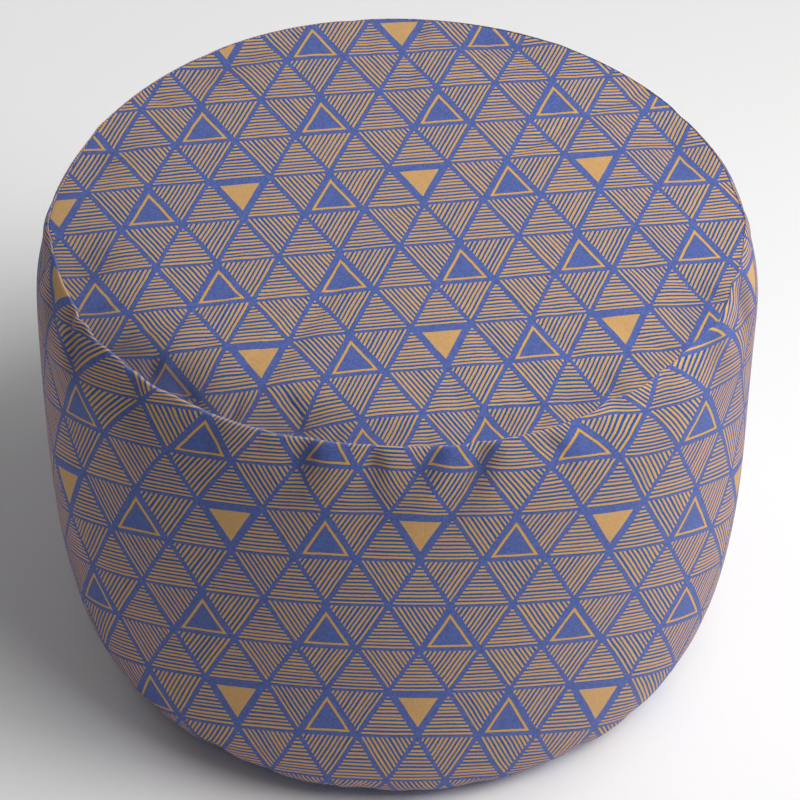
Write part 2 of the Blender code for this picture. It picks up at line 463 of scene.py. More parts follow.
def clothMaterial(name, printed):
    look = clothLook
    material, tree, shader = newMaterial(name)
    timesAdd, = operations(tree, "MULTIPLY_ADD")
    cloth = tree.nodes.new("ShaderNodeUVMap")
    cloth.uv_map = "cloth"
    weave = placeGroup(tree, "plainWeave", {"Cloth": cloth.outputs[0]})
    colour, contrast, height = look["blue"], look["contrast"], weave["Height"]
    if printed:
        prints = placeGroup(tree, "trianglePrint", {"Cloth": cloth.outputs[0]})
        plain = mixColours(tree, prints["Ink"], look["blue"], look["tan"])
        fine = mixColours(tree, prints["Ink"], look["blueInHatch"], look["tanInHatch"])
        colour = mixColours(tree, prints["Hatched"], plain, fine)
        contrast = timesAdd(prints["Ink"], look["contrastInInk"] - look["contrast"], look["contrast"])
        height = timesAdd(prints["Ink"], look["inkHeight"], height)
    # two painted marks: a highlight along the lip's crest, and shade in folds, slack places and behind the
    # lip
    seam, fold = (tree.nodes.new("ShaderNodeAttribute") for _ in range(2))
    seam.attribute_name, fold.attribute_name = "nearSeam", "foldShade"
    paintedLook = placeGroup(tree, "clothFleckAndPaintedLight", {
        "Colour": colour, "Fleck": weave["Fleck"], "Contrast": contrast,
        "Seam": seam.outputs["Fac"], "Highlight": look["seamHighlight"], "Highlight Colour": look["seamPale"],
        "Fold": fold.outputs["Fac"], "Shade": look["foldShade"], "Fold Colour": look["inFold"]})
    bump = newNode(tree, "Bump", {"Strength": 0.5, "Distance": look["weaveDepth"], "Height": height})
    feed(tree, shader, {
        "Base Color": paintedLook["Colour"], "Normal": bump.outputs[0],
        "Roughness": timesAdd(weave["Fleck"], look["fleckRoughness"], look["roughness"]),
        "Sheen Weight": look["sheen"], "Sheen Roughness": 0.45, "Specular IOR Level": 0.25})
    return material


printedCloth = clothMaterial("printedCloth", True)
plainCloth = clothMaterial("plainCloth", False)

print("pouf: side band")
sideBand = {
    "wallRows": 92,
    "crowding": 9.0,  # how much closer columns stand at the closing seam, and for how many degrees
    "crowdReach": 0.9,
    "hiddenShares": (0.30, 0.60, 0.76, 0.84, 0.89, 0.92, 0.945, 0.965, 0.985),  # rings under the top panel
    "underPanel": 0.0034,  # how far under it they lie
    "leastLip": 0.0004,  # least height of the lip's inner side
    "lipAngles": (180.0, 155.0, 130.0, 110.0, 90.0, 70.0),  # round the lip's turned edge
    "hiddenCloth": -0.0120,  # cloth from the seam, for hidden rings and up the lip's inner side
    "lipFootCloth": -0.0095,
    "lipSideCloth": -0.0060,
    "lipEdgeCloth": 0.0013,  # cloth for each radian round the turned edge
    "fadeIn": 0.020,  # the wall's forms fade in over this height under the seam
    "seamFollow": 0.012,  # and the seam's wander fades out over this
    "waves": {"seed": 5, "count": 14, "most": 9, "size": 0.0011},
    "footOut": 0.0006,  # the foot stands this far outside the base panel's rim, and drops to meet it
    "footDrop": 0.0002,
    "insideHeight": 0.0030,  # the band closes inside the base panel, at this height
    "insideRadius": 0.09,
    "insideCloth": 0.004,
    "closingDepth": 0.0016,  # the seam that closes the band, behind
    "closingWidth": 0.0010,
    "closingRise": 0.0006,  # the cloth swells beside it
    "closingReach": 0.006,
    "highlightAt": -0.0008,  # cloth from the seam where a highlight is painted along the lip's edge, and how wide
    "highlightReach": 0.0006,
    "shadedDepth": 0.0032,  # a fold this deep has its full painted shade
}

# How the print is laid on the band, in its own columns and rows
bandPrint = {
    "pitchTurn": 9.45,  # degrees of turn that one triangle takes at the front
    "widening": 0.52,  # the print is laid this much wider towards the sides
    "wideningTurn": 59.0,
    "wideningPower": 2.7,
    "firstTurn": 3.54,  # a filled triangle's column stands at this turn
    "firstRow": 0.0146,  # cloth from the seam down to the first row line
    "firstRowNumber": 2.0,
    "rowHeight": 0.0410,
    "eased": 0.20,  # rows are this much lower at the top seam, where the cloth is eased in
    "easedEnd": (0.030, 0.045),  # cloth from the seam where this begins to stop, and over what length
    "drawn": (0.42, 0.10),  # and up to this much higher where it is drawn under, in front and behind
    "drawnStart": (0.190, 0.110),
    "frontReach": 64.0,  # what is laid on from the front holds up to this turn
    "frontFade": 46.0,  # and fades out behind it
    "droop": 0.146,  # how far the rows hang lower behind than in front
    "droopTurn": 120.0,
    "tilt": 0.0009,  # and how far they sink from one column to the next
    "rowShift": 0.014,
    "columnShift": 0.009,
    "columnSlide": 0.12,  # columns for each metre of cloth down from the seam
    "narrowed": 3.5,  # about so many columns beside the front keep their width where the pouf narrows
    "raised": 0.205,  # rows by which the print rises to both sides, most half way down
    "raisedTurns": (20.0, 30.0, 1.67),  # first turn, degrees to a step, most steps
    "raisedCloth": (0.20, 0.09),  # cloth from the seam where it rises most, and its reach
    "leaning": 0.30,  # columns by which it leans outwards near the seam, a step past the first turn
    "leaningTurns": (45.0, 17.0, 1.8),
    "leaningReach": 0.048,
    # it is caught in under the seam: by how many rows or columns, turn, reach in degrees, reach in cloth
    "caughtRows": (0.13, 31.0, 9.0, 0.02),
    "caughtColumns": (0.145, 38.0, 16.0, 0.045),
    "caughtCloth": 0.03,  # most at this distance from the seam
}

# Gathers: turn, half width, depth, distance of the deepest place under the seam, lean sideways going down
bandFolds = (
    (-83, 0.009, 0.0014, 0.016, -0.1), (-75, 0.01, 0.0018, 0.022, 0.1),
    (-66, 0.0065, 0.0017, 0.011, 0.5), (-60, 0.01, 0.0012, 0.02, -0.2),
    (-46, 0.009, 0.001, 0.014, 0.2), (-30, 0.008, 0.0009, 0.012, 0),
    (-14, 0.008, 0.003, 0.013, -0.1), (-3.5, 0.0062, 0.0026, 0.013, 0.05),
    (6.5, 0.007, 0.003, 0.013, -0.5), (15, 0.007, 0.0034, 0.015, -0.4),
    (24, 0.0058, 0.0016, 0.012, 0.45), (33, 0.008, 0.0009, 0.014, 0.2),
    (47, 0.01, 0.001, 0.014, -0.2), (61, 0.011, 0.0015, 0.018, 0.1),
    (76, 0.011, 0.0024, 0.02, -0.2), (95, 0.01, 0.0014, 0.015, 0.2),
    (118, 0.014, 0.0026, 0.018, 0.1), (139, 0.011, 0.002, 0.014, -0.2),
    (166, 0.013, 0.0026, 0.016, 0.2), (193, 0.011, 0.0022, 0.014, -0.1),
    (222, 0.014, 0.0028, 0.018, 0.2), (247, 0.012, 0.0022, 0.016, -0.1),
    (264, 0.01, 0.0014, 0.014, 0.2),
)

# Shallow gathers at the foot, where the band is tucked under; each has its own width, depth and reach
footGathers = {
    "seed": 11,
    "every": 13.0,  # degrees, each shifted by up to so many
    "shifted": 4.5,
    "width": (0.007, 0.015),
    "depth": (0.0006, 0.0022),
    "reach": (0.022, 0.045),  # how far up they fade
    "height": 0.012,
}


def foldDepth(turn, below):
    # each fold is depth * hump(arc) * s exp(1 - s), with s the distance under the seam over that of its
    # deepest place; it widens by a quarter of its width for each s, up to s = 4
    depth = np.zeros(np.broadcast(turn, below).shape)
    for at, width, deepest, distance, lean in bandFolds:
        s = below / distance
        arc = roundDistance(turn, at, seamRadius) - lean * below
        depth += deepest * hump(arc, width * (1.0 + 0.25 * np.minimum(s, 4.0))) * s * np.exp(1.0 - s)
    return depth


def footFolds(turn, height):  # each gather is depth * hump(arc) * hump(height above its deepest place)
    draw = np.random.default_rng(footGathers["seed"])
    depth = np.zeros(np.broadcast(turn, height).shape)
    places = np.arange(0.0, 360.0, footGathers["every"])
    for at in places + draw.uniform(-footGathers["shifted"], footGathers["shifted"], len(places)):
        width, deepest, reach = (draw.uniform(*footGathers[label]) for label in ("width", "depth", "reach"))
        arc = roundDistance(turn, at, pouf["baseRimRadius"])
        depth += deepest * hump(arc, width) * hump(height - footGathers["height"], reach)
    return depth


def runningSum(values, steps):  # the area under the values up to each step, starting from 0
    return np.concatenate([[0.0], np.cumsum((values[1:] + values[:-1]) / 2.0 * np.diff(steps))])


def printColumns(turn):
    # columns and droop of the print: the pitch is p (1 + w |sin|^2.7), and the rows sink by d (1 - cos) / 2
    fine = np.linspace(-180.0, 180.0, 3601)
    wave = np.abs(np.sin(np.radians(90.0 * fine / bandPrint["wideningTurn"]))) ** bandPrint["wideningPower"]
    wide = np.where(np.abs(fine) < 2.0 * bandPrint["wideningTurn"], wave, 0.0)
    column = runningSum(1.0 / (bandPrint["pitchTurn"] * (1.0 + bandPrint["widening"] * wide)), fine)
    column -= np.interp(bandPrint["firstTurn"], fine, column)
    share = np.minimum(np.abs(fine) / bandPrint["droopTurn"], 1.0)
    droop = bandPrint["droop"] * (1.0 - np.cos(math.pi * share)) / 2.0
    return np.interp(turn, fine, column), np.interp(turn, fine, droop)


def rowsBelow(along, drawn):
    # rows from the seam down: the sum of 1 / h along the cloth, h = rowHeight (1 - eased (1 - S1) + drawn S2)
    fine = np.linspace(-0.03, 0.42, 901)
    eased = bandPrint["eased"] * (1.0 - smoothStep(fine, *bandPrint["easedEnd"]))
    scale = 1.0 - eased + drawn * smoothStep(fine, *bandPrint["drawnStart"])
    rows = runningSum(1.0 / (bandPrint["rowHeight"] * scale), fine)
    return np.interp(along, fine, rows) - np.interp(bandPrint["firstRow"], fine, rows)


def sideRamp(turn, start, step, most):  # steps past the start, at most so many, to the power 1.5
    return np.clip((np.abs(turn) - start) / step, 0.0, most) ** 1.5


def caughtIn(turn, under, share, at, reach, down):  # share * hump(turn) * hump(cloth from the seam)
    return share * hump(turn - at, reach) * hump(under - bandPrint["caughtCloth"], down)


def bandCloth(turn, under, narrow):
    # column and row of the print, by turn and by cloth from the seam: the pitch and the rows added up, and in
    # front it rises, leans out and is caught in under the seam
    column, droop = printColumns(turn)
    front = hump(np.maximum(np.abs(turn) - bandPrint["frontReach"], 0.0), bandPrint["frontFade"])
    inFront, behind = (rowsBelow(under, drawn) for drawn in bandPrint["drawn"])
    sinking = (droop + bandPrint["tilt"] * column) / bandPrint["rowHeight"]
    v = bandPrint["firstRowNumber"] - (front * inFront + (1.0 - front) * behind) + sinking
    most, reach = bandPrint["raisedCloth"]
    raised = bandPrint["raised"] * sideRamp(turn, *bandPrint["raisedTurns"]) * hump(under - most, reach)
    v = v + front * (bandPrint["rowShift"] + raised - caughtIn(turn, under, *bandPrint["caughtRows"]))
    leaning = bandPrint["leaning"] * np.sign(turn) * sideRamp(turn, *bandPrint["leaningTurns"])
    leaning = leaning * hump(under, bandPrint["leaningReach"])
    caught = caughtIn(turn, under, *bandPrint["caughtColumns"])
    drift = bandPrint["columnSlide"] * under - bandPrint["columnShift"] - caught - leaning
    closer = bandPrint["narrowed"] * np.tanh(column / bandPrint["narrowed"]) * (narrow - 1.0)
    return np.stack([column + (drift + closer) * front, v], -1)


def crowdedTurns():  # the columns' turns from -180 to 180 degrees, closer at the closing seam behind
    fine = np.linspace(-180.0, 180.0, 7201)
    crowd = np.cumsum(1.0 + sideBand["crowding"] * hump(180.0 - np.abs(fine), sideBand["crowdReach"]))
    return np.interp(np.linspace(crowd[0], crowd[-1], pouf["columns"] + 1), crowd, fine)


def lipRings(turn):
    # radius, height and cloth from the seam: rings hidden under the top panel, the lip's inner side and its
    # turned edge, a roll r at middle + r cos(angle) outwards and middle + r sin(angle) upwards
    inner, roll = panelEdge(turn), seamRoll(turn)
    hidden = np.array(sideBand["hiddenShares"])[:, None] * inner
    hiddenHeight = seamHeight + panelHeight(turn, hidden) - sideBand["underPanel"]
    middle = seamRadius - seamIn(turn) - roll * math.sqrt(0.5)
    middleHeight = seamHeight - roll * math.sqrt(0.5) + seamLift(turn)
    lipFoot = np.minimum(seamHeight + panelHeight(turn, inner) - sideBand["underPanel"],
                         middleHeight - sideBand["leastLip"])
    angles = np.radians(sideBand["lipAngles"])
    radius = np.concatenate([hidden, middle - roll, middle - roll, middle + roll * np.cos(angles)[:, None]])
    height = np.concatenate([hiddenHeight, lipFoot, (lipFoot + middleHeight) / 2.0,
                             middleHeight + roll * np.sin(angles)[:, None]])
    under = np.concatenate([np.full(len(hidden), sideBand["hiddenCloth"]),
                            [sideBand["lipFootCloth"], sideBand["lipSideCloth"]],
                            -sideBand["lipEdgeCloth"] * (angles - math.pi / 4.0)])
    return radius, height, under


def wallRings(turn):
    # the profile less folds, gathers and closing seam, plus soft waves and the settled cover's moves; these
    # fade in under the seam by 1 - hump(below, fadeIn)
    low, count = pouf["wallFoot"], sideBand["wallRows"]
    heights = low + (seamHeight - low) * (1.0 + np.cos(math.pi * np.arange(count + 1) / count)) / 2.0
    radii = wallRadius(heights)
    arc = np.concatenate([[0.0], np.cumsum(np.hypot(np.diff(heights), np.diff(radii)))])
    widestArc = np.interp(-pouf["widestHeight"], -heights, arc)
    heights, radii = heights[:, None], radii[:, None]
    below = seamHeight - heights
    fade = 1.0 - hump(below, sideBand["fadeIn"])
    closing = roundDistance(turn, 180.0, seamRadius)
    closed = sideBand["closingDepth"] * hump(closing, sideBand["closingWidth"])
    closed = closed - sideBand["closingRise"] * hump(closing, sideBand["closingReach"])
    waves = softWaves(turn, heights, **sideBand["waves"])
    outward, upward = (readGrid(moves[::-1], wallHeights[::-1], heights, turn) for moves in wallMoves)
    inward = foldDepth(turn, below) + footFolds(turn, heights) + (closed - waves - outward) * fade
    inward = inward + seamIn(turn) * hump(below, sideBand["seamFollow"])
    return radii - inward, heights + upward * fade + seamLift(turn) * liftShare(heights), arc, widestArc


def makeSideBand():
    closedTurn = crowdedTurns()
    turn = closedTurn[None, :-1]
    lipRadius, lipHeight, lipUnder = lipRings(turn)
    wallRadii, wallLevels, arc, widestArc = wallRings(turn)
    inside = sideBand["insideHeight"]
    rim = pouf["baseRimRadius"] + sideBand["footOut"]
    foot = np.array([(rim, pouf["wallFoot"] - sideBand["footDrop"]), (pouf["standingRadius"], inside),
                     (sideBand["insideRadius"], inside)])
    footRadius, footHeight = foot.T[..., None] + 0.0 * turn
    radius = np.concatenate([lipRadius, wallRadii, footRadius])
    height = np.concatenate([lipHeight, wallLevels, footHeight])
    footUnder = np.full(len(foot), arc[-1] + sideBand["insideCloth"])
    under = np.concatenate([lipUnder, arc, footUnder])[:, None]
    narrow = np.minimum(radius.mean(1, keepdims=True) / pouf["widestRadius"], 1.0)
    narrow = np.where(under < widestArc, 1.0, narrow)  # below the bulge the front columns keep their width
    marks = {
        # painted highlight along the lip's crest where the seam is loose, and painted shade in the folds
        "nearSeam": hump(under - sideBand["highlightAt"], sideBand["highlightReach"]) * looseness(turn),
        "foldShade": np.clip(foldDepth(turn, np.maximum(under, 0.0)) / sideBand["shadedDepth"], 0.0, 1.0),
    }
    middle = seamHeight + pouf["crown"] - sideBand["underPanel"]
    return gridPiece("sideBand", ringPoints(turn, radius, height), bandCloth(closedTurn, under, narrow),
                     (0.0, 0.0, middle), (0.0, 0.0, inside), marks)


settling = {
    "columns": 240,
    "topRows": 26,
    "firstShare": 0.06,  # of the seam's radius
    "wallRows": 44,
    "smaller": 0.0015,  # the cover starts this much inside its place
    "quality": 6,
    "mass": 0.25,
    "tension": 20.0,
    "compression": 12.0,
    "shear": 4.0,
    "bending": 0.4,
    "pressure": 4.0,
    "grow": 0.018,  # slack in the cloth
    "frames": 20,
    "cap": 0.0030,  # how far a point may move
    "keptMean": 0.15,  # how much of the even swelling stays: the outline is fitted already
}


def coverRings(turn):
    # a coarse cover: rings over the top panel by share of the seam's radius, then down the wall by height
    shares = np.linspace(settling["firstShare"], 1.0, settling["topRows"])[:, None]
    steps = np.linspace(0.0, 1.0, settling["wallRows"])[1:, None]
    heights = seamHeight + (pouf["wallFoot"] - seamHeight) * steps
    topRadius = shares * seamRadius + 0.0 * turn
    topHeight = seamHeight + panelHeight(turn, np.minimum(topRadius, panelRadius))
    wall = wallRadius(heights) - foldDepth(turn, seamHeight - heights) - footFolds(turn, heights)
    radius = np.concatenate([topRadius, wall]) - settling["smaller"]
    height = np.concatenate([topHeight, heights + seamLift(turn) * liftShare(heights)])
    return shares[:, 0], heights[:, 0], radius, height


def runCloth(cover, pinned):
    # Blender's cloth under pressure and without weight, held at the pinned points; returns where points end
    cover.vertex_groups.new(name="held").add(pinned, 1.0, "REPLACE")
    cloth = cover.modifiers.new("cloth", "CLOTH")
    cloth.settings.quality = settling["quality"]
    cloth.settings.mass = settling["mass"]
    cloth.settings.tension_stiffness = settling["tension"]
    cloth.settings.compression_stiffness = settling["compression"]
    cloth.settings.shear_stiffness = settling["shear"]
    cloth.settings.bending_stiffness = settling["bending"]
    cloth.settings.use_pressure = True
    cloth.settings.uniform_pressure_force = settling["pressure"]
    cloth.settings.shrink_min = -settling["grow"]
    cloth.settings.vertex_group_mass = "held"
    cloth.settings.effector_weights.gravity = 0.0
    cloth.collision_settings.use_collision = False
    cloth.point_cache.frame_start, cloth.point_cache.frame_end = 1, settling["frames"]
    scene = bpy.context.scene
    scene.frame_start, scene.frame_end = 1, settling["frames"]
    for frameNumber in range(1, settling["frames"] + 1):
        scene.frame_set(frameNumber)
    after = cover.evaluated_get(bpy.context.evaluated_depsgraph_get()).to_mesh()
    settled = np.empty(len(after.vertices) * 3)
    after.vertices.foreach_get("co", settled)
    scene.frame_set(1)
    bpy.data.objects.remove(cover)
    return settled.reshape(-1, 3)


def settleCover():
    # how far each point of the coarse cover moves outwards and upwards, on the top panel and on the wall,
    # less most of its ring's mean and capped as cap tanh(length / cap)
    columns, topRows = settling["columns"], settling["topRows"]
    turn = np.arange(columns)[None] * 360.0 / columns
    shares, heights, radius, height = coverRings(turn)
    points = ringPoints(turn, radius, height)
    count = len(radius)
    noPrint = np.zeros((count, columns + 1, 2))
    cover = gridPiece("settlingCover", points, noPrint, (0.0, 0.0, height[0].mean()),
                      (0.0, 0.0, pouf["wallFoot"]), {})
    seamPoints = range((topRows - 1) * columns, topRows * columns)
    footPoints = range((count - 1) * columns, count * columns)
    lowMiddle = count * columns + 1
    settled = runCloth(cover, [*seamPoints, *footPoints, lowMiddle])
    moved = settled[:-2].reshape(points.shape) - points
    way = ringPoints(turn, np.ones((count, 1)), 0.0)
    move = np.stack([(moved * way).sum(-1), moved[..., 2]])
    print("pouf: cover settled, mean and most", np.abs(move).mean(), np.abs(move).max())
    move = move - (1.0 - settling["keptMean"]) * move.mean(2, keepdims=True)
    length = np.hypot(move[0], move[1])
    move = move * settling["cap"] * np.tanh(length / settling["cap"]) / np.maximum(length, 1e-9)
    return shares, move[:, :topRows], heights, move[:, topRows:]


def readGrid(grid, rows, row, turn):
    # bilinear reading of a grid that closes round the pouf; rows holds the grid's row places in rising order
    turn, row = np.broadcast_arrays(turn % 360.0, row)
    x = turn * grid.shape[1] / 360.0
    y = np.interp(row, rows, np.arange(len(rows)))
    i, j = np.minimum(y.astype(int), len(rows) - 2), x.astype(int) % grid.shape[1]
    k, s, t = (j + 1) % grid.shape[1], y - i, x - np.floor(x)
    upper = grid[i, j] * (1.0 - t) + grid[i, k] * t
    lower = grid[i + 1, j] * (1.0 - t) + grid[i + 1, k] * t
    return upper * (1.0 - s) + lower * s


print("pouf: top panel")
topPanel = {
    "thickness": 0.0013,
    "firstShare": 0.05,  # rings stand evenly up to the next share of the radius, then closer and closer
    "evenShare": 0.64,
    "evenRings": 34,
    "edgeRings": 40,
    "rollAngles": (70.0, 45.0, 20.0, -5.0),  # where the panel rolls down into the seam
    "underShares": (1.0, 0.95, 0.75, 0.45, 0.10),  # rings of its underside
    "waves": {"seed": 8, "count": 12, "most": 8, "size": 0.0007},
    "settled": 0.5,  # how much of the settled cover's unevenness the panel takes
    "pitch": 0.04115,
    "rowHeight": 0.0433,
    "turned": 5.8,  # degrees that the print is turned
    "origin": (-0.0894, 0.0478),  # a crossing of the print's lines on the panel
    "originCell": (-2.5, 1.0),  # and its column and row
    # the cloth is drawn unevenly: how far beside each place the print is read, across and along the panel
    "pull": {
        "everywhere": (-0.0014, 0.0076),
        "right": (0.0001, -0.0062),  # at the right edge, and the other way at the left
        "back": (-0.0035, -0.0017),  # at the back edge, and the other way in front
        "bothSides": (0.0046, -0.0089),
        "corners": (-0.0062, 0.0027),  # towards the back right and the front left, the other way between them
        "bothEnds": (-0.0005, -0.0121),
    },
    # shade painted behind the lip: turn, reach in degrees, reach inwards, share
    "lipShades": ((-62.0, 34.0, 0.045, 0.40), (-44.0, 15.0, 0.024, 0.90), (-12.0, 14.0, 0.016, 0.30)),
    "shadedDepth": 0.012,  # a slack place this deep has its full painted shade
    "mostShade": 1.3,
}

# Slack places and creases: turn, radius, heading from the inward way, half length, half width, depth
topSlack = (
    (-57, 0.214, 90, 0.034, 0.016, 0.0024), (-46, 0.218, 90, 0.026, 0.013, 0.0016),
    (-37, 0.212, 90, 0.04, 0.022, 0.003), (-19, 0.213, 90, 0.03, 0.019, 0.0066),
    (-2, 0.217, 90, 0.026, 0.013, 0.0024), (17, 0.217, 90, 0.024, 0.012, 0.0024),
    (35, 0.213, 90, 0.03, 0.016, 0.003), (68, 0.218, 90, 0.022, 0.014, 0.0022),
    (-78, 0.214, 90, 0.024, 0.016, 0.0034), (112, 0.214, 90, 0.03, 0.016, 0.0024),
    (158, 0.215, 90, 0.032, 0.015, 0.0022), (215, 0.214, 90, 0.034, 0.016, 0.0026),
    (252, 0.215, 90, 0.026, 0.015, 0.0024), (-37.5, 0.2245, -70, 0.02, 0.005, 0.0028),
    (-28.5, 0.2235, -15, 0.013, 0.0042, 0.0028), (-19, 0.209, -37, 0.015, 0.005, 0.0028),
    (-47, 0.222, -40, 0.014, 0.0055, 0.003), (-56, 0.223, -10, 0.011, 0.005, 0.0014),
    (-66, 0.221, 15, 0.012, 0.0055, 0.0018), (-10, 0.224, 10, 0.01, 0.0045, 0.001),
    (5, 0.226, 0, 0.008, 0.0045, 0.0009), (25, 0.225, 20, 0.009, 0.005, 0.0009),
    (40, 0.222, 25, 0.012, 0.0055, 0.0012), (53, 0.223, -20, 0.01, 0.0055, 0.001),
    (70, 0.222, 15, 0.012, 0.006, 0.0013), (130, 0.221, 10, 0.013, 0.007, 0.0012),
    (176, 0.221, -10, 0.013, 0.007, 0.0014), (231, 0.221, 15, 0.013, 0.007, 0.0012),
)


def slackDepth(turn, radius):  # lip s^6 + the slack places, each depth hump(along) hump(across)
    total = pouf["lipDepth"] * looseness(turn) * (radius / panelRadius) ** 6
    for at, out, heading, length, width, depth in topSlack:
        inward, sideways = out - radius, roundDistance(turn, at, out)
        c, s = math.cos(math.radians(heading)), math.sin(math.radians(heading))
        along, across = inward * c + sideways * s, sideways * c - inward * s
        total = total + depth * hump(along, length) * hump(across, width)
    return total


def panelHeight(turn, radius):  # crown (1 - s^2) + rim waves s^4 - slack
    share = radius / panelRadius
    return pouf["crown"] * (1.0 - share ** 2) + seamLift(turn) * share ** 4 - slackDepth(turn, radius)


def topRings(turn):
    # each ring's share of the rim's radius, and how far out and down from there it lies: 0 on the panel,
    # r cos(angle) and r (1 - sin(angle)) on its roll into the seam, and the thickness down underneath
    roll = seamRoll(turn)
    even = topPanel["evenShare"]
    closer = np.sin(np.linspace(0.0, math.pi / 2.0, topPanel["edgeRings"] + 1))[1:]
    shares = np.concatenate([np.linspace(topPanel["firstShare"], even, topPanel["evenRings"]),
                             even + (1.0 - even) * closer])
    angles, under = np.radians(topPanel["rollAngles"]), np.array(topPanel["underShares"])
    flat, back = np.zeros(len(shares)), np.zeros(len(under))
    share = np.concatenate([shares, np.ones(len(angles)), under])[:, None]
    out = np.concatenate([flat, np.cos(angles), back])[:, None] * roll
    down = np.concatenate([flat, 1.0 - np.sin(angles), back])[:, None] * roll
    thick = np.concatenate([flat, np.zeros(len(angles)), back + topPanel["thickness"]])[:, None]
    return share, out, down + thick


def topCloth(radius):
    # the print lies flat: the place plus the pull, turned, then counted in pitches and rows. With x to the
    # right and y to the back in panel radii, the pull is a + b x + c y + d x^2 + e x y + f y^2
    closed = np.concatenate([radius, radius[:, :1]], 1)
    place = ringPoints(closedTurns[None], closed, 0.0)[..., :2]
    x, y = place[..., :1] / panelRadius, place[..., 1:] / panelRadius
    terms = {"everywhere": 1.0, "right": x, "back": y,
             "bothSides": x * x, "corners": x * y, "bothEnds": y * y}
    pull = sum(term * np.array(topPanel["pull"][label]) for label, term in terms.items())
    flat = place + pull - np.array(topPanel["origin"])
    angle = math.radians(topPanel["turned"])
    column, row = topPanel["originCell"]
    u = (flat[..., 0] * math.cos(angle) + flat[..., 1] * math.sin(angle)) / topPanel["pitch"] + column
    v = (flat[..., 1] * math.cos(angle) - flat[..., 0] * math.sin(angle)) / topPanel["rowHeight"] + row
    return np.stack([u, v], -1)


def makeTopPanel():
    turn = turns[None]
    share, out, down = topRings(turn)
    at = share * (panelEdge(turn) - seamRoll(turn))  # the panel starts to roll down a roll inside its edge
    calm = np.clip(at / panelRadius, 0.0, 1.0) ** 2
    waves = softWaves(turn, at, **topPanel["waves"]) * calm * (1.0 - calm ** 6)
    settled = readGrid(topMoves[1], topShares, share, turn) * topPanel["settled"] * (1.0 - share ** 12)
    height = seamHeight + panelHeight(turn, at) + waves - down + settled

    # painted shade: darker in slack places and in a band behind the lip
    inside = np.maximum(panelRadius - at, 0.0)
    lipShade = sum(most * hump(turnBetween(turn, middle), reach) * hump(inside, inwards)
                   for middle, reach, inwards, most in topPanel["lipShades"])
    shade = np.clip(slackDepth(turn, at) / topPanel["shadedDepth"] + lipShade, 0.0, topPanel["mostShade"])
    middle = seamHeight + pouf["crown"]
    return gridPiece("topPanel", ringPoints(turn, at + out, height), topCloth(at + out), (0.0, 0.0, middle),
                     (0.0, 0.0, middle - topPanel["thickness"]), {"nearSeam": 0.0, "foldShade": shade})


print("pouf: base panel")
basePanel = {
    "puckers": (9, 14, 23, 31),  # waves round the rim, their seed, strengths and depth
    "seed": 3,
    "strength": (0.2, 1.0),
    "depth": 0.0004,
    "inside": 0.0020,  # height of its hidden upper side
    # rings over the rim to the underside: measured from where, how far out, height, share of the puckers
    "rings": (("middle", 0.05, 0.0020, 0.0), ("standing", -0.004, 0.0020, 0.0), ("rim", -0.003, 0.0078, 0.3),
              ("rim", -0.0005, 0.0082, 0.5), ("rim", 0.0, 0.0070, 0.5), ("rim", -0.0012, 0.0058, 0.5),
              ("rim", -0.008, 0.0030, 0.8), ("standing", 0.006, 0.0010, 0.3), ("standing", 0.0, 0.0, 0.0),
              ("standing", -0.01, 0.0, 0.0), ("middle", 0.1, 0.0, 0.0), ("middle", 0.02, 0.0, 0.0)),
}


def makeBasePanel():  # a profile carried round the axis, its height changed by depth * share * the puckers
    draw = np.random.default_rng(basePanel["seed"])
    pucker = np.zeros(len(turns))
    for waves in basePanel["puckers"]:
        strength = draw.uniform(*basePanel["strength"])
        pucker = pucker + strength * np.cos(np.radians(turns) * waves + draw.uniform(0.0, pouf["anyPhase"]))
    start = {"middle": 0.0, "standing": pouf["standingRadius"], "rim": pouf["baseRimRadius"]}
    rings = [(start[where] + out, height, share) for where, out, height, share in basePanel["rings"]]
    radius, height, share = np.array(rings).T[..., None]
    height = np.maximum(height + basePanel["depth"] * share * pucker, 0.0)
    cloth = ringPoints(closedTurns[None], radius, 0.0)[..., :2] / topPanel["pitch"]
    return gridPiece("basePanel", ringPoints(turns, radius, height), cloth, (0.0, 0.0, basePanel["inside"]),
                     (0.0, 0.0, 0.0), {"nearSeam": 0.0, "foldShade": 0.0})


print("pouf: seam thread")
seamThread = {
    "pitch": 0.0040,
    "length": 0.0027,
    "radius": 0.00030,
    "sides": 6,
    "ringPlaces": (-0.46, -0.36, 0.0, 0.36, 0.46),  # along a stitch, in shares of its length
    "ringSizes": (0.6, 1.0, 1.08, 1.0, 0.6),
    "inside": 0.0002,  # the stitches stand this far inside the panel's edge
    "sunk": 0.0003,  # and sink in, further where the seam is tight
    "sunkTight": 0.0005,
    "closingFrom": 0.022,  # behind, they run from this height up to this far under the seam
    "closingShort": 0.006,
    "closingSunk": 0.75,  # in shares of the closing seam's depth
    "colour": (0.235, 0.270, 0.500),
    "fibreShades": (0.7, 1.3),  # the twisted fibres are darker and lighter than the colour
    "fibreScale": 2400.0,
    "roughness": 0.55,
}


def unit(vectors):
    return vectors / np.linalg.norm(vectors, axis=1, keepdims=True)


def stitchShape():  # a capsule along x: rings of radius r round its length, closed by a point at both ends
    length = seamThread["length"]
    angle = np.arange(seamThread["sides"]) * 2.0 * math.pi / seamThread["sides"]
    at = np.array(seamThread["ringPlaces"])[:, None] * length
    size = np.array(seamThread["ringSizes"])[:, None] * seamThread["radius"]
    rings = np.stack(np.broadcast_arrays(at, size * np.cos(angle), size * np.sin(angle)), -1)
    return np.concatenate([rings.reshape(-1, 3), [(-length / 2.0, 0.0, 0.0), (length / 2.0, 0.0, 0.0)]])


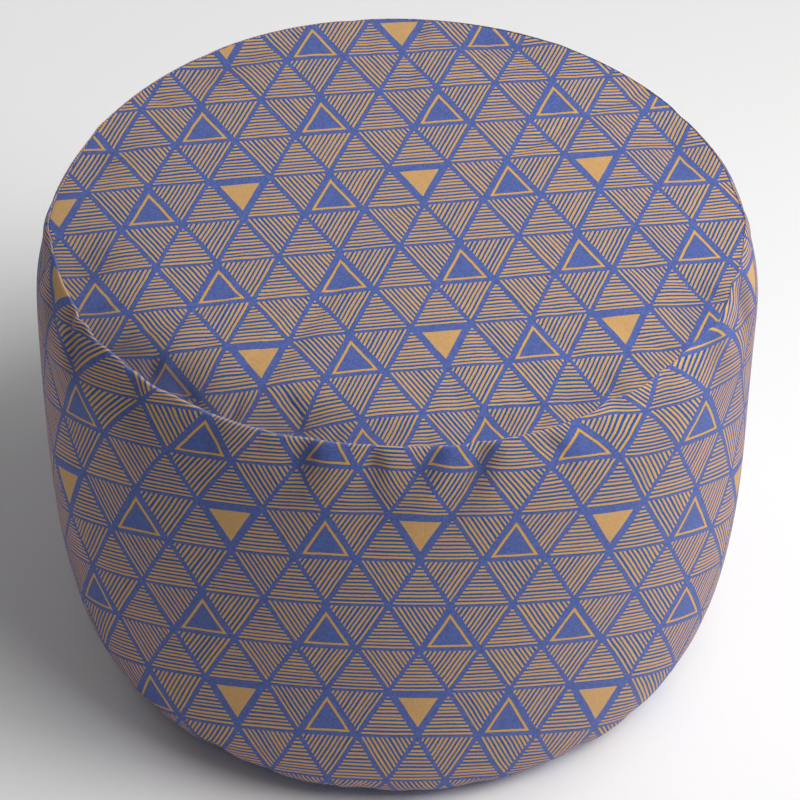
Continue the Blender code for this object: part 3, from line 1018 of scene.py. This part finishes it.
def stitchPlaces():  # where the stitches lie and their ways, round the top seam and then up the closing seam
    count = int(2.0 * math.pi * panelRadius / seamThread["pitch"])
    turn = np.arange(count) * 360.0 / count
    roll, edge = seamRoll(turn), panelEdge(turn)
    sunk = seamThread["sunk"] + seamThread["sunkTight"] * (1.0 - looseness(turn))
    between = 2.0 * np.sqrt(roll * seamThread["radius"])  # a thread rests this high between two rolls
    height = seamHeight + panelHeight(turn, edge) - roll + between - sunk
    place = ringPoints(turn, edge - seamThread["inside"], height)
    way = ringPoints(turn + 90.0, np.ones(count), 0.0)

    top = seamHeight - seamThread["closingShort"]
    heights = np.arange(seamThread["closingFrom"], top, seamThread["pitch"])
    radii = wallRadius(heights) - sideBand["closingDepth"] * seamThread["closingSunk"]
    upwards = unit(ringPoints(180.0, np.gradient(radii, heights), 1.0))
    return np.concatenate([place, ringPoints(180.0, radii, heights)]), np.concatenate([way, upwards])


def threadMaterial():
    material, tree, shader = newMaterial("threadLook")
    place = tree.nodes.new("ShaderNodeTexCoord").outputs["Object"]
    twist = newNode(tree, "TexNoise", {"Vector": place, "Scale": seamThread["fibreScale"]})
    dark, light = (tuple(share * c for c in seamThread["colour"]) for share in seamThread["fibreShades"])
    colour = mixColours(tree, twist.outputs["Fac"], dark, light)
    feed(tree, shader, {"Base Color": colour, "Roughness": seamThread["roughness"]})
    return material


def makeSeamThread():
    # each stitch is the capsule carried to its place p: p + x way + y out + z (way x out), out square to way
    stitch = stitchShape()
    place, way = stitchPlaces()
    out = unit(place * (1.0, 1.0, 0.0))
    out = unit(out - (out * way).sum(1, keepdims=True) * way)
    co = place[:, None] + stitch @ np.stack([way, out, np.cross(way, out)], 1)
    faces = tubeFaces(len(seamThread["ringPlaces"]), seamThread["sides"])
    quads, fans = (part[:, ::-1] for part in faces)  # a stitch's rings run the other way round
    first = (np.arange(len(place)) * len(stitch))[:, None]
    corners = np.concatenate([(part.ravel() + first).ravel() for part in (quads, fans)])
    sizes = np.repeat([4, 3], [len(quads) * len(place), len(fans) * len(place)])
    piece = meshPiece("seamThread", co.reshape(-1, 3), corners, sizes)
    piece.data.materials.append(threadMaterial())
    return piece


print("pouf: settling the cover")
topShares, topMoves, wallHeights, wallMoves = settleCover()
top = makeTopPanel()
band = makeSideBand()
base = makeBasePanel()
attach(makeSeamThread(), "root")

for piece, material, node, slot in ((top, printedCloth, "top_panel", "printed_cloth"),
                                    (band, printedCloth, "side_panel", "printed_cloth"),
                                    (base, plainCloth, "base_panel", "plain_cloth")):
    piece.data.materials.append(material)
    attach(piece, "root")
    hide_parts(node)

print("pouf: studio")
studio = {
    "elevation": 41.5,
    "distance": 2.826,
    "lens": 177.2,
    "aim": (0.0023, 0.0, 0.174),
    "raised": 0.0069,  # the aim moves up in the picture by this much
    "seenFar": 60.0,
    "air": 0.15,  # white light from all round
    "lampAim": (0.0, 0.0, 0.18),
    "lampSize": 1.0,
    # lamps: name, place, power, colour
    "lamps": (("keyLight", (1.693, -0.616, 1.442), 12.8, (1.0, 0.995, 0.985)),
              ("sideLight", (0.688, 0.0, 1.163), 7.2, (1.0, 0.995, 0.985)),
              ("fillLight", (-1.490, 1.776, 0.801), 8.0, (0.97, 0.99, 1.0))),
    "evenWay": (-0.497, 0.287, -0.819),  # even light, also on the floor
    "evenStrength": 1.24,
    "evenAngle": 0.5,
    "floorReach": 20.0,
    "floorColour": (0.95, 0.95, 0.95),
    "floorRoughness": 0.9,
}


def makeLamp(name, kind, way):  # a lamp that shines along a direction
    lamp = newObject(name, bpy.data.lights.new(name, kind))
    lamp.rotation_euler = way.to_track_quat("-Z", "Y").to_euler()
    return lamp


def makeLights():
    world = bpy.data.worlds.new("studioAir")
    bpy.context.scene.world = world
    world.use_nodes = True
    background = world.node_tree.nodes["Background"]
    feed(world.node_tree, background, {"Color": (1.0, 1.0, 1.0), "Strength": studio["air"]})
    for name, place, power, colour in studio["lamps"]:
        lamp = makeLamp(name, "AREA", Vector(studio["lampAim"]) - Vector(place))
        lamp.location = place
        lamp.data.energy, lamp.data.size, lamp.data.color = power, studio["lampSize"], colour
    even = makeLamp("evenLight", "SUN", Vector(studio["evenWay"]))
    even.data.energy, even.data.angle = studio["evenStrength"], studio["evenAngle"]


def makeFloor():
    reach = studio["floorReach"]
    mesh = bpy.data.meshes.new("floor")
    mesh.from_pydata([(-reach, -reach, 0.0), (reach, -reach, 0.0), (reach, reach, 0.0), (-reach, reach, 0.0)],
                     [], [(0, 1, 2, 3)])
    material, tree, shader = newMaterial("paleFloor")
    feed(tree, shader, {"Base Color": studio["floorColour"], "Roughness": studio["floorRoughness"]})
    mesh.materials.append(material)
    floor = newObject("floor", mesh)


def makeCamera():
    camera = bpy.data.cameras.new("photoView")
    camera.lens = studio["lens"]
    camera.clip_end = studio["seenFar"]
    eye = newObject("photoView", camera)
    e = math.radians(studio["elevation"])
    back = Vector((0.0, -math.cos(e), math.sin(e)))
    rise = Vector((0.0, math.sin(e), math.cos(e)))
    eye.location = Vector(studio["aim"]) + rise * studio["raised"] + back * studio["distance"]
    eye.rotation_euler = (-back).to_track_quat("-Z", "Y").to_euler()
    bpy.context.scene.camera = eye


makeLights()
makeFloor()
makeCamera()
bpy.context.view_layer.update()
